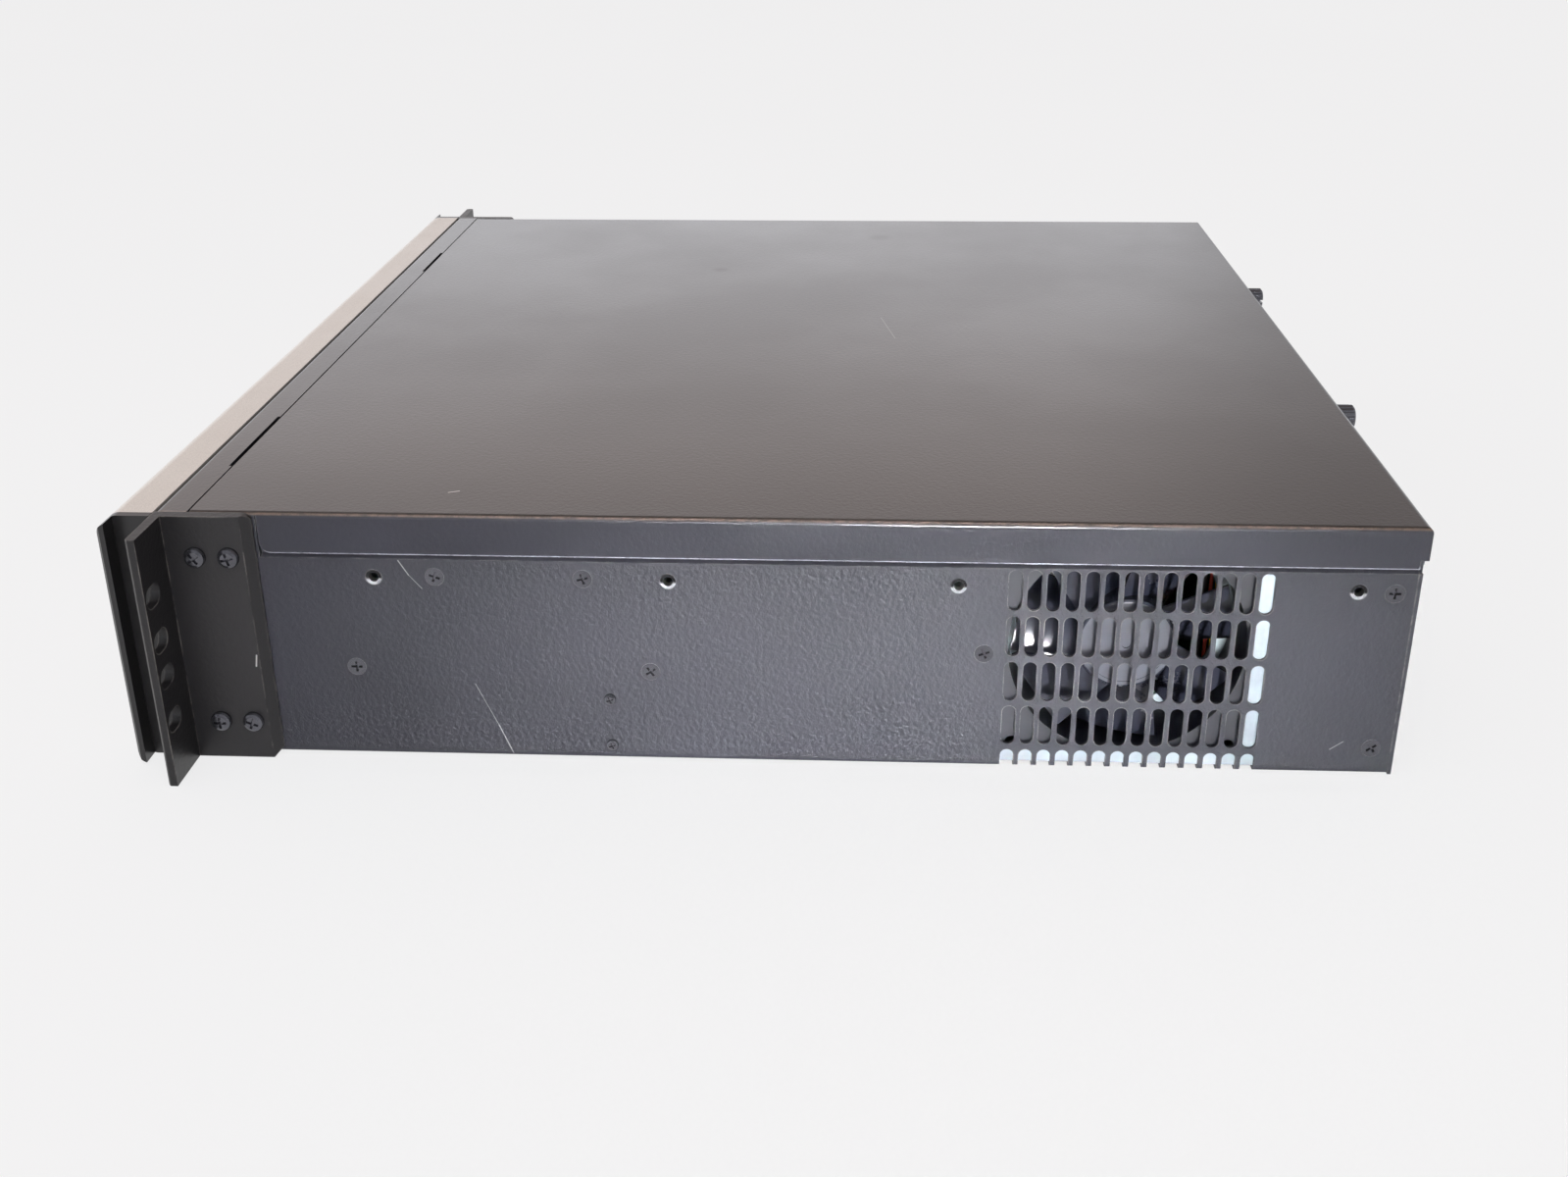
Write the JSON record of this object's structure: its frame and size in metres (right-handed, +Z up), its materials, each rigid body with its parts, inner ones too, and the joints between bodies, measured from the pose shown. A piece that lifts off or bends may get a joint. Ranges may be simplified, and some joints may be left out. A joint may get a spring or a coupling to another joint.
{
  "type": "rack server",
  "caption": "Two-unit rack server in a short black steel case with a silver bezel, rack ears, a louvred side vent over a fan and a lift-off lid.",
  "frame": {"origin": "on the underside, midway between the sides, in the plane of the ear flanges' rear faces", "axes": "+X across the rack to the right seen from the front, +Y from the front to the back, +Z up"},
  "size_m": [0.478, 0.4291, 0.088],
  "materials": {
    "black_coat": "fine textured black powder coat",
    "lid_coat": "fine textured dark powder coat, lightly worn",
    "ear_coat": "fine textured black powder coat with bright worn bends",
    "silver_plastic": "pale silver lacquer over moulded plastic",
    "black_screw": "glossy blackened steel",
    "zinc": "bright zinc plate",
    "nickel": "bright nickel plate",
    "cap_black": "satin black moulded plastic",
    "fan_plastic": "matt black moulded plastic",
    "rotor_plastic": "satin black moulded plastic",
    "cast_alloy": "cast and painted alloy",
    "heatsink_alloy": "extruded alloy, satin",
    "board_green": "green solder mask",
    "socket_cream": "moulded cream plastic",
    "socket_black": "moulded black plastic",
    "part_dark": "moulded grey plastic",
    "can_metal": "sleeved can",
    "port_metal": "bright tinned shell",
    "button_plastic": "satin grey moulded plastic",
    "lens_green": "translucent green plastic",
    "cable_black": "black sleeve",
    "wire_mixed": "coloured wire insulation",
    "cable_red": "red flat cable sheath"
  },
  "bodies": {
    "case": {"base_tray": "black_coat", "front_frame": "black_coat", "rear_panel": "black_coat", "rack_ear_right": "ear_coat", "rack_ear_left": "ear_coat", "bezel": "silver_plastic", "bezel_cap_right": "cap_black", "bezel_cap_left": "cap_black", "ear_screws": "black_screw", "side_screws": "black_screw", "foot_screws": "black_screw", "slide_nuts": "nickel", "fan_bracket": "zinc", "side_fan_frame": "fan_plastic", "front_fan_frames": "fan_plastic", "front_fan_screws": "nickel", "drive_cage": "zinc", "drive_pads": "part_dark", "hard_drive": "cast_alloy", "motherboard": "board_green", "standoffs": "nickel", "cpu_socket": "socket_cream", "cpu_cooler": "heatsink_alloy", "cpu_fan_frame": "fan_plastic", "memory_slots": "socket_black", "memory_modules": "board_green", "expansion_slots": "socket_cream", "chipset_heatsink": "heatsink_alloy", "board_sockets": "socket_cream", "capacitors": "can_metal", "chokes": "part_dark", "board_battery": "nickel", "io_connectors": "port_metal", "io_shield": "zinc", "slot_covers": "zinc", "slot_shelf": "zinc", "slot_screws": "nickel", "supply_case": "zinc", "supply_fan_frame": "fan_plastic", "supply_screws": "black_screw", "inlet_socket": "socket_black", "switch_body": "socket_black", "control_board": "board_green", "usb_sockets": "port_metal", "lamp_lenses": "lens_green", "supply_harness": "cable_black", "side_fan_leads": "wire_mixed", "drive_lead": "cable_red", "control_lead": "cable_black"},
    "cover": {"top_cover": "lid_coat"},
    "thumbscrew_left": {"thumbscrew_left": "black_screw"},
    "thumbscrew_right": {"thumbscrew_right": "black_screw"},
    "side_fan_rotor": {"side_fan_rotor": "rotor_plastic"},
    "front_fan_rotor_left": {"front_fan_rotor_left": "rotor_plastic"},
    "front_fan_rotor_right": {"front_fan_rotor_right": "rotor_plastic"},
    "cpu_fan_rotor": {"cpu_fan_rotor": "rotor_plastic"},
    "supply_fan_rotor": {"supply_fan_rotor": "rotor_plastic"},
    "power_button": {"power_button": "button_plastic"},
    "reset_button": {"reset_button": "button_plastic"},
    "mains_rocker": {"mains_rocker": "part_dark"}
  },
  "joints": [
    {"name": "cover_slide", "type": "slide", "parent": "case", "child": "cover", "axis": [0, 1, 0], "range_m": [0, 0.4]},
    {"name": "thumbscrew_left_turn", "type": "hinge", "parent": "cover", "child": "thumbscrew_left", "pos_m": [-0.086, 0.4, 0.08], "axis": [0, 1, 0], "continuous": true},
    {"name": "thumbscrew_right_turn", "type": "hinge", "parent": "cover", "child": "thumbscrew_right", "pos_m": [0.086, 0.4, 0.08], "axis": [0, 1, 0], "continuous": true},
    {"name": "side_fan_spin", "type": "hinge", "parent": "case", "child": "side_fan_rotor", "pos_m": [0.2, 0.3105, 0.044], "axis": [1, 0, 0], "continuous": true},
    {"name": "front_fan_left_spin", "type": "hinge", "parent": "case", "child": "front_fan_rotor_left", "pos_m": [-0.043, 0.01, 0.044], "axis": [0, 1, 0], "continuous": true},
    {"name": "front_fan_right_spin", "type": "hinge", "parent": "case", "child": "front_fan_rotor_right", "pos_m": [0.043, 0.01, 0.044], "axis": [0, 1, 0], "continuous": true},
    {"name": "cpu_fan_spin", "type": "hinge", "parent": "case", "child": "cpu_fan_rotor", "pos_m": [0.107, 0.2852, 0.06], "axis": [0, 0, 1], "continuous": true},
    {"name": "supply_fan_spin", "type": "hinge", "parent": "case", "child": "supply_fan_rotor", "pos_m": [-0.1467, 0.388, 0.036], "axis": [0, 1, 0], "continuous": true},
    {"name": "power_button_press", "type": "slide", "parent": "case", "child": "power_button", "axis": [0, 1, 0], "range_m": [0, 0.0018], "stiffness_N_per_m": 300, "springref_m": -0.001},
    {"name": "reset_button_press", "type": "slide", "parent": "case", "child": "reset_button", "axis": [0, 1, 0], "range_m": [0, 0.001], "stiffness_N_per_m": 400, "springref_m": -0.0005},
    {"name": "mains_rocker_tilt", "type": "hinge", "parent": "case", "child": "mains_rocker", "pos_m": [-0.1932, 0.3968, 0.0473], "axis": [1, 0, 0], "range_deg": [0, 18]}
  ]
}
